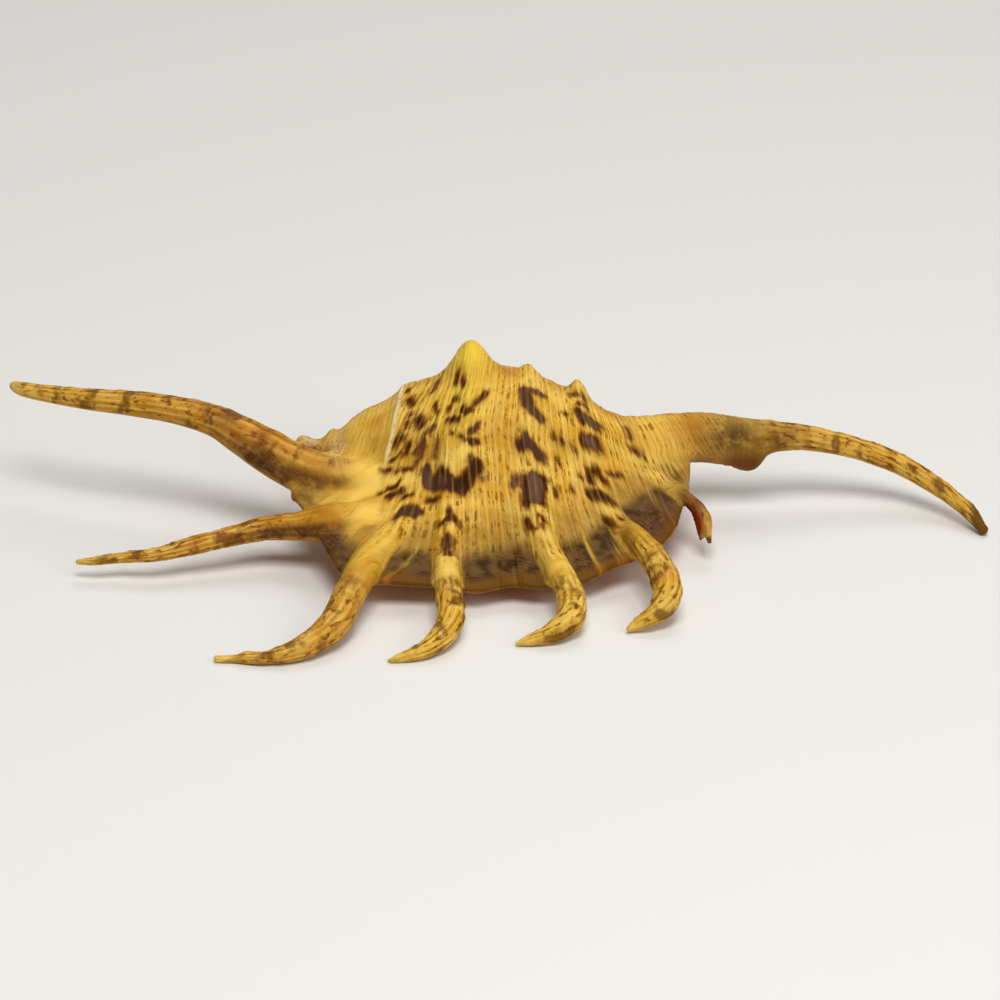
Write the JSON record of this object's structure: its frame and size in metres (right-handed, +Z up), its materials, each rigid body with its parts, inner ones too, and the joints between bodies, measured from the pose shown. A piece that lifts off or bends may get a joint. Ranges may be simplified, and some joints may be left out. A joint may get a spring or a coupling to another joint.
{
  "type": "spider conch shell",
  "caption": "Sea shell lying on its opening: a coiled body with knobs on its back, a flared lip with long curved fingers, and a long front canal.",
  "frame": {"origin": "middle of the shell's box in plan, on the surface that the shell rests on", "axes": "+X from the spire towards the tip of the front canal, -Y towards the flared lip and its fingers, +Z up"},
  "size_m": [0.1602, 0.0679, 0.0301],
  "materials": {
    "shell": "satin, golden ochre with dark brown blotches on the back, glossy orange inside the opening"
  },
  "bodies": {
    "root": {"shell": "shell"}
  },
  "joints": []
}
